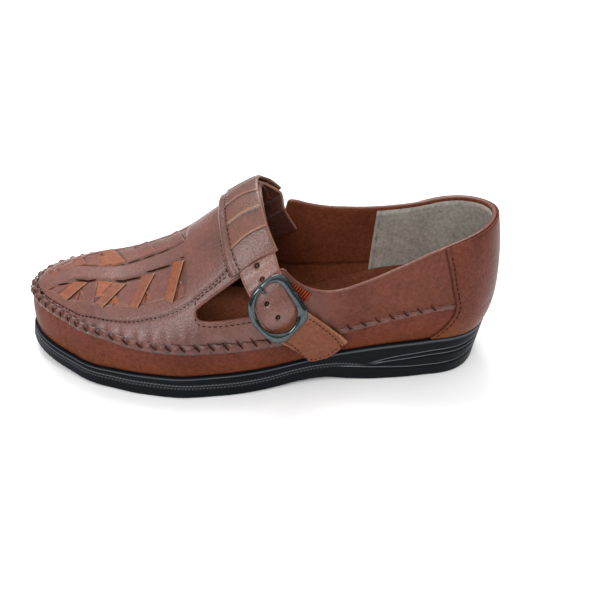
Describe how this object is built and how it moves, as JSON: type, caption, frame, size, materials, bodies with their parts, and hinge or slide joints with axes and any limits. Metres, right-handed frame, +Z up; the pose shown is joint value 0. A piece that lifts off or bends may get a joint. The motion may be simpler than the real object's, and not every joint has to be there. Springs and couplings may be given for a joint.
{
  "type": "woven loafer",
  "caption": "Left low shoe with a woven moccasin apron, open waist cut-outs, a buckled T-strap under a saddle, and a moulded wedge unit sole.",
  "frame": {"origin": "centre of the bounding box seen from above, on the floor under the sole", "axes": "+X from toe to heel, +Y from the outer side of the foot to the inner side, +Z up"},
  "size_m": [0.2692, 0.0924, 0.1044],
  "materials": {
    "moulded_unit": "semi-matt black moulding",
    "footbed_leather": "matt brown lining leather",
    "upper_leather": "polished brown leather",
    "buckle_metal": "dark plated, glossy",
    "elastic": "ribbed"
  },
  "bodies": {
    "root": {"unit_sole": "moulded_unit", "insole": "footbed_leather", "upper": "upper_leather", "heel_counter": "upper_leather", "strap": "upper_leather", "saddle": "upper_leather", "elastic_gore": "elastic", "buckle_frame": "buckle_metal", "buckle_prong": "buckle_metal"}
  },
  "joints": []
}
